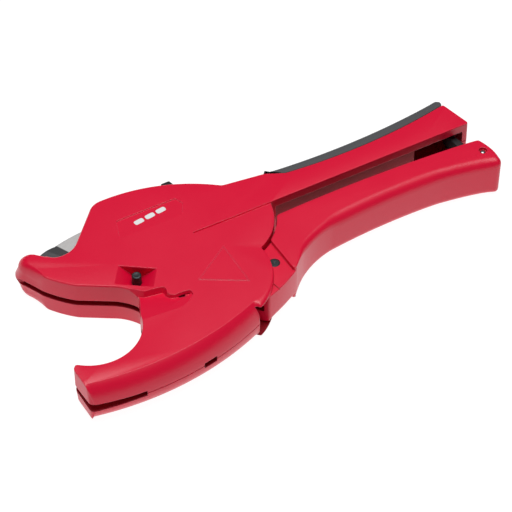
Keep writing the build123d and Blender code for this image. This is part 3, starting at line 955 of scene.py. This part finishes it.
    def build(self) -> list[Piece]:
        """Build both shells.

        Returns:
            The two shells.
        """
        upper = put("upper_shell_skin", self.outer(), Coat.RED)
        self.carve(upper, mirrored=False)
        for space in (*self.seat_ramp(), self.lock_pocket(), self.panel(), self.groove()):
            join_exactly(upper, space, Coat.RED_CUT, Cut.AWAY)
        hole = lathe([(2.2, -1.0), (2.2, HALF - 0.5)], LOCK_PIN, 48)
        join_exactly(upper, hole, Coat.RED_INSIDE, Cut.AWAY)
        for rib in self.triangle():
            join_exactly(upper, rib, Coat.RED_CUT, Cut.ONTO)
        lower = put("lower_shell_skin", flipped(self.outer(lower=True)), Coat.RED)
        self.carve(lower, mirrored=True)
        for place in self.wells:
            floor = -HALF + self.well_depth
            profile = [(self.well_r + 0.4, -HALF - 1.0), (self.well_r, -HALF + 0.2), (self.well_r, floor)]
            well = lathe(profile, place)
            join_exactly(lower, well, Coat.RED_CUT, Cut.AWAY)
        for shell, node in ((upper, "upper_shell"), (lower, "lower_shell")):
            shade(shell)
            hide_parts(node)
            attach(shell, "case")
            self.pieces.append(shell)
        return self.pieces

    def triangle(self) -> list[Solid]:
        """Return the raised plain triangle: three ribs with sloping sides along its edges."""
        corners = [(17.0, 10.4), (16.4, -12.8), (-2.0, -1.2)]
        ribs = []
        for first, last in zip(corners, corners[1:] + corners[:1]):
            run = np.array(last) - np.array(first)
            run /= np.linalg.norm(run)
            side = np.array([-run[1], run[0]])
            start, end = np.array(first) - run * 0.2, np.array(last) + run * 0.2
            flat = [start - side * 0.45, end - side * 0.45, end + side * 0.45, start + side * 0.45]
            ribs.append(prism(flat, HALF - 0.3, HALF + 0.22, flare=-0.18))
        return ribs


# ---- moving handle --------------------------------------------------------------------------
@dataclass
class MovingHandle:
    """The cast lever: a channel-shaped grip with a soft outer edge, and the forked tongue."""

    tongue_half: float = 8.7
    fork_half: float = 1.7
    channel_half: float = 8.1
    gap_r: float = 29.8
    tail_r: float = 24.4
    tail_end: float = -50.5
    tongue_r: float = 31.2
    pin_r: float = 5.05

    @staticmethod
    def slab(track: Sequence[tuple], half: float, ease: float = EASE) -> Solid:
        """Build a slab whose two faces have round edges.

        Each row holds an end point, the point that its arc passes or None, and the sizes of the
        upper and the lower round there, or one size for both. The crest is the foot moved
        inwards by that size, and the round is as high as wide.

        Args:
            track: The rows, in order round the outline.
            half: Half of the thickness.
            ease: Spread of the easing, in millimetres.

        Returns:
            The points and the faces.
        """
        # a slab's walls do not lean, so the lower size travels in lean until it is read below
        stretches = [Stretch(end, end, via, via, rise=sizes[0], lean=sizes[-1])
                     for end, via, *sizes in track]
        wall = Wall.from_stretches(stretches, ease)
        halves = []
        for sizes in (wall.rise, wall.lean):
            size = eased(sizes, 3.0 / STEP)
            crest = wall.foot + inward(wall.foot) * size[:, None]
            side = Wall(wall.foot, crest, size, np.zeros(len(size)), wall.crown)
            halves.append(side.rings(0.0, half)[1:])
        lower = [ring * np.array([1.0, 1.0, -1.0]) for ring in halves[1][::-1]]
        return skin(lower + halves[0])

    def grip(self) -> Solid:
        """Return the grip's body."""
        rows = [
            ((36.5, -14.6), None, 0.4),
            ((37.7, -16.6), (36.7, -16.0), 0.4, 2.5),
            ((45.5, -9.9), (41.8, -12.9), 0.5, 5.0),
            ((66.0, -1.6), (54.5, -4.9), 3.2, 5.0),
            ((124.0, -1.6), (96.0, -0.3), 5.0),
            ((150.6, -7.7), (138.0, -4.2), 4.6),
            ((153.4, -4.6), (152.9, -7.0), 3.0),
            ((151.4, 9.4), (153.3, 2.5), 1.1),
            (polar(self.gap_r, -26.0, TAB), (100.0, 13.9), 0.35),
            (polar(self.gap_r, -56.2, TAB), polar(self.gap_r, -40.0, TAB), 0.35),
        ]
        return self.slab(rows, HALF)

    def tongue(self) -> Solid:
        """Return the tongue's body with its hub, a little way into the grip."""
        rows = [
            ((38.6, 3.8), None, 0.3),
            (polar(self.gap_r, -56.0, TAB), None, 0.3),
            (polar(self.gap_r, -66.5, TAB), polar(self.gap_r, -61.0, TAB), 0.3),
            ((14.0, 1.5), None, 0.3),
            ((0.0, 12.0), None, 0.3),
            ((0.0, -12.0), (-12.0, 0.0), 0.3),
            (polar(self.tail_r, -62.0), None, 0.3),
            (polar(self.tail_r, self.tail_end), polar(self.tail_r, -56.0), 0.3),
            (polar(self.tongue_r, self.tail_end), None, 0.4, 1.0),
            ((37.0, -16.9), (28.4, -21.2), 0.45, 5.0),
            ((39.0, -15.6), None, 0.4, 5.0),
        ]
        return self.slab(rows, self.tongue_half, 0.4)

    def build(self) -> Piece:
        """Build the handle.

        Returns:
            The piece.
        """
        handle = put("moving_handle_skin", self.grip(), Coat.RED)
        join_exactly(handle, self.tongue(), Coat.RED, Cut.ONTO)
        bore = lathe([(self.pin_r, -12.0), (self.pin_r, 12.0)], (0.0, 0.0), 72)
        fork = lathe([(28.7, -self.fork_half), (28.7, self.fork_half)], (0.0, 0.0), 120)
        room = prism([(20, 8), (36, 5.2), (38, -6), (36, -13), (22, -8)], -self.fork_half, self.fork_half)
        seat = lathe([(8.6, 4.5), (8.6, 8.3)], (0.0, 0.0), 72)
        channel = prism([(52, 18), (52, 3.6), (68, 3.0), (97, 3.6), (124, 1.6), (140, -1.4), (146, -2.4),
                         (151.9, -2.4), (151.9, 4.5), (150.8, 9.4), (150.8, 18)],
                        -self.channel_half, self.channel_half)
        for space in (bore, fork, room, seat, channel):
            join_exactly(handle, space, Coat.RED_INSIDE, Cut.AWAY)
        pin_seat = lathe([(2.5, self.tongue_half - 1.2), (2.5, 8.5), (2.7, HALF)], DRIVE_PIN)
        top_seat = lathe([(1.95, HALF - 1.5), (1.95, HALF - 0.25), (2.25, HALF + 1.0)], LATCH_PIN)
        notch = prism([(24.6, -18.6), (25.3, -18.5), (26.2, -23.4), (25.2, -23.4)],
                      self.tongue_half - 0.7, 9.5)
        through = lathe([(1.4, -12.0), (1.4, 12.0)], LATCH_PIN, 40)
        for space in (pin_seat, top_seat, flipped(top_seat), notch, through):
            join_exactly(handle, space, Coat.RED_CUT, Cut.AWAY)
        shade(handle)
        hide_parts("moving_handle")
        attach(handle, "handle")
        return handle


# ---- small pieces ---------------------------------------------------------------------------
@dataclass
class Details:
    """The pad, pins, screws, latch, thumb piece and print."""

    lock_top: float = HALF - 0.9
    lock_r: float = 2.15

    def pad(self) -> Piece:
        """Build the soft pad along the back of the fixed handle."""
        rows = [
            ((55.7, 41.4), None, 0.5),
            ((64.0, 36.1), None, 0.25),
            ((150.5, 37.6), (99.0, 33.5), 0.25),
            ((151.5, 40.2), None, 0.9),
            ((149.5, 42.2), None, 2.0),
            ((55.7, 41.7), (102.0, 38.9), 2.3),
        ]
        return shade(put("grip_pad", MovingHandle.slab(rows, HALF - 0.35), Coat.RUBBER))

    def lock(self) -> Piece:
        """Build the lock pin with its domed, slightly dished end."""
        r, top = self.lock_r, self.lock_top
        profile = [(r, 1.25), (r, top - 0.55), (r - 0.08, top - 0.25), (r - 0.28, top - 0.06),
                   (r - 0.6, top), (r - 0.9, top - 0.05), (0.2, top - 0.16)]
        return shade(put("lock_pin", lathe(profile, LOCK_PIN), Coat.BLACK_STEEL), 35.0)

    def drive_pin(self) -> Piece:
        """Build the driving pawl's pin with a centre mark in its head."""
        top = 8.65
        profile = [(1.5, -8.4), (1.5, 7.5), (2.35, 7.5), (2.35, top - 0.25), (2.15, top), (0.75, top),
                   (0.55, top - 0.4), (0.1, top - 0.5)]
        return shade(put("drive_pin", lathe(profile, DRIVE_PIN), Coat.BLACK_STEEL), 35.0)

    def latch_pin(self) -> Piece:
        """Build the latch's pin with its domed ends."""
        r, top = 1.35, HALF - 0.6
        dome = [(r, top - 0.75), (r - 0.1, top - 0.42), (r - 0.38, top - 0.16), (r - 0.8, top - 0.03),
                (0.1, top)]
        profile = [(radius, -height) for radius, height in reversed(dome)] + dome
        return shade(put("latch_pin_steel", lathe(profile, LATCH_PIN), Coat.STEEL), 40.0)

    def screws(self, places: Sequence[Point]) -> Piece:
        """Build the case screws with hexagon sockets.

        Args:
            places: Where they stand.

        Returns:
            One piece that holds all of them.
        """
        low = -8.6
        made = None
        for place in places:
            profile = [(2.5, low), (2.8, low + 0.3), (2.8, -6.0), (1.5, -6.0), (1.5, 5.5)]
            screw = lathe(profile, place, 48)
            if made is None:
                made = put("screws", screw, Coat.BLACK_STEEL)
            else:
                join_exactly(made, screw, Coat.BLACK_STEEL, Cut.ONTO)
            hexagon = [polar(1.45, 60 * corner, place) for corner in range(6)]
            join_exactly(made, prism(hexagon, low - 0.5, low + 1.5), Coat.BLACK_STEEL, Cut.AWAY)
        return shade(made, 35.0)

    def latch(self) -> Piece:
        """Build the latch with its hook."""
        x, y = LATCH_PIN
        rows = [
            ((x - 4.4, 24.2), None, 0.4),
            ((x - 4.0, 27.0), None, 0.4),
            ((x - 1.4, 27.0), None, 0.4),
            ((x + 0.3, 24.3), None, 0.3),
            ((x - 1.4, 23.7), None, 0.3),
            ((x + 2.4, y + 1.0), None, 0.4),
            ((x - 2.5, y - 1.0), (x, y - 2.6), 0.4),
        ]
        piece = put("latch_hook", MovingHandle.slab(rows, 3.4, 0.3), Coat.BLACK)
        join_exactly(piece, lathe([(1.42, -5.0), (1.42, 5.0)], LATCH_PIN, 40), Coat.BLACK, Cut.AWAY)
        return shade(piece)

    def thumb_piece(self) -> Piece:
        """Build the thumb piece on the release lever's end."""
        rows = [((14.9, 60.6), None, 0.5), ((21.2, 60.6), None, 0.5), ((20.3, 65.6), None, 0.9),
                ((15.7, 65.6), None, 0.9)]
        return shade(put("thumb_piece", MovingHandle.slab(rows, 2.6, 0.6), Coat.BLACK))

    def print_bars(self) -> Piece:
        """Build the plain white print: three short bars in a row, a film on the panel's floor."""
        run = np.array([17.0, 1.9])
        run /= np.linalg.norm(run)
        side = np.array([-run[1], run[0]])
        solids = []
        for start in (-9.8, -4.0, 1.8):
            middle = np.array([start + 2.4, 43.6 + 0.11 * start])
            corners = ((-2.4, -1.3), (2.4, -1.3), (2.4, 1.3), (-2.4, 1.3))
            flat = [middle + run * dx + side * dy for dx, dy in corners]
            solids.append(prism(flat, HALF - 0.6, HALF - 0.16, ease=0.7))
        points = np.concatenate([points for points, _ in solids])
        faces, base = [], 0
        for part, part_faces in solids:
            faces += [[index + base for index in face] for face in part_faces]
            base += len(part)
        return shade(put("print_bars", (points, faces), Coat.PRINT))

    def build(self, case: Case) -> list[Piece]:
        """Build every small piece and tie it to its body.

        Args:
            case: The case, whose screws it makes.

        Returns:
            The pieces.
        """
        ties = [
            (self.pad(), "case", "grip_insert"),
            (self.lock(), "lock", "lock_button"),
            (self.drive_pin(), "handle", "drive_pawl_pin"),
            (self.latch_pin(), "handle", "latch_pin"),
            (self.screws(case.wells), "case", "case_screws"),
            (self.latch(), "latch", "latch"),
            (self.thumb_piece(), "release", "release_button"),
        ]
        for piece, body, node in ties:
            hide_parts(node)
            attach(piece, body)
        bars = self.print_bars()
        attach(bars, "case")
        return [piece for piece, _, _ in ties] + [bars]


@dataclass
class Inside:
    """The frame's own nodes that keep their shape and get their finish."""

    coats: dict[str, Coat] = field(default_factory=lambda: {
        "blade": Coat.BLADE, "blade_bush": Coat.BRONZE, "blade_spring": Coat.SPRING,
        "main_pivot_pin": Coat.STEEL, "pivot_washers": Coat.NYLON, "handle_spring": Coat.SPRING,
        "drive_pawl": Coat.STEEL, "drive_pawl_spring": Coat.SPRING, "release_lever": Coat.STEEL,
        "release_pin": Coat.STEEL, "release_spring": Coat.SPRING,
    })

    def dress(self) -> list[Piece]:
        """Give each node its finish.

        Returns:
            The nodes' objects.
        """
        dressed = []
        for node, coat in self.coats.items():
            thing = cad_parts[node]
            for slot in thing.material_slots:
                slot.material = bpy.data.materials[coat.value]
            dressed.append(thing)
        return dressed


# ---- studio ---------------------------------------------------------------------------------
@dataclass
class Studio:
    """The white floor, the soft lights and the camera."""

    azimuth: float = -30.7
    elevation: float = 46.5
    distance: float = 0.9
    aim: tuple[float, float, float] = (0.03122, 0.0066, 0.0105)
    lens: float = 143.65
    floor_glow: float = 0.97
    overhead: float = 9.6
    gloom: float = 0.1

    def camera(self) -> None:
        """Set the camera on the line of sight at its distance, with no shift."""
        turn, rise = math.radians(self.azimuth), math.radians(self.elevation)
        back = Vector((math.sin(turn) * math.cos(rise), -math.cos(turn) * math.cos(rise), math.sin(rise)))
        lens = bpy.data.cameras.new("camera")
        lens.lens = self.lens
        lens.sensor_width = 36.0
        lens.clip_start = 0.01
        lens.clip_end = 20.0
        camera = bpy.data.objects.new("camera", lens)
        camera.location = Vector(self.aim) + back * self.distance
        camera.rotation_euler = back.to_track_quat("Z", "Y").to_euler()
        bpy.context.scene.collection.objects.link(camera)
        bpy.context.scene.camera = camera

    def floor(self) -> None:
        """Lay the white floor, which glows a little so that it stays pure white."""
        material = bpy.data.materials.new(Coat.FLOOR.value)
        material.use_nodes = True
        shader = material.node_tree.nodes["Principled BSDF"]
        shader.inputs["Base Color"].default_value = (0.15, 0.15, 0.15, 1.0)
        shader.inputs["Roughness"].default_value = 0.9
        shader.inputs["Specular IOR Level"].default_value = 0.0
        shader.inputs["Emission Color"].default_value = (1.0, 1.0, 1.0, 1.0)
        shader.inputs["Emission Strength"].default_value = self.floor_glow
        mesh = bpy.data.meshes.new("floor")
        edge, level = 4.0, -0.0001
        turns = ((-1, -1), (1, -1), (1, 1), (-1, 1))
        mesh.from_pydata([(edge * x, edge * y, level) for x, y in turns], [], [(0, 1, 2, 3)])
        mesh.materials.append(material)
        ground = bpy.data.objects.new("floor", mesh)
        bpy.context.scene.collection.objects.link(ground)

    def softbox(self, name: str, place: tuple[float, float, float], size: float, power: float) -> None:
        """Hang a square soft light that faces the tool.

        Args:
            name: Name of the light.
            place: Where it hangs, in metres from the aim.
            size: Side of the square.
            power: Its power in watts.
        """
        light = bpy.data.lights.new(name, "AREA")
        light.size = size
        light.energy = power
        lamp = bpy.data.objects.new(name, light)
        lamp.location = Vector(self.aim) + Vector(place)
        lamp.rotation_euler = Vector(place).to_track_quat("Z", "Y").to_euler()
        bpy.context.scene.collection.objects.link(lamp)

    def world(self) -> None:
        """Surround the tool with a weak light that the camera sees as plain white."""
        world = bpy.data.worlds.new("studio")
        world.use_nodes = True
        background = world.node_tree.nodes["Background"]
        background.inputs["Color"].default_value = (1.0, 1.0, 1.0, 1.0)
        tree = world.node_tree
        path = tree.nodes.new("ShaderNodeLightPath")
        seen = worked(tree, "MULTIPLY", path.outputs["Is Camera Ray"], 1.0 - self.gloom)
        tree.links.new(worked(tree, "ADD", seen, self.gloom), background.inputs["Strength"])
        bpy.context.scene.world = world

    def build(self) -> None:
        """Set up the whole studio."""
        self.camera()
        self.floor()
        self.softbox("overhead", (0.03, 0.055, 1.0), 0.75, self.overhead)
        self.world()
        bpy.context.scene.view_settings.view_transform = "Standard"


def main() -> None:
    """Build the studio, the finishes and each sub-assembly, and report each piece."""
    logging.basicConfig(level=logging.INFO, format="%(message)s")
    Studio().build()
    peel_group()
    edge_group()
    for finish in finishes():
        finish.build()
    case = Case()
    pieces = case.build() + [MovingHandle().build()] + Details().build(case) + Inside().dress()
    for piece in pieces:
        LOG.info("%s: %d faces", piece.name, len(piece.data.polygons))


if __name__ == "__main__":
    main()
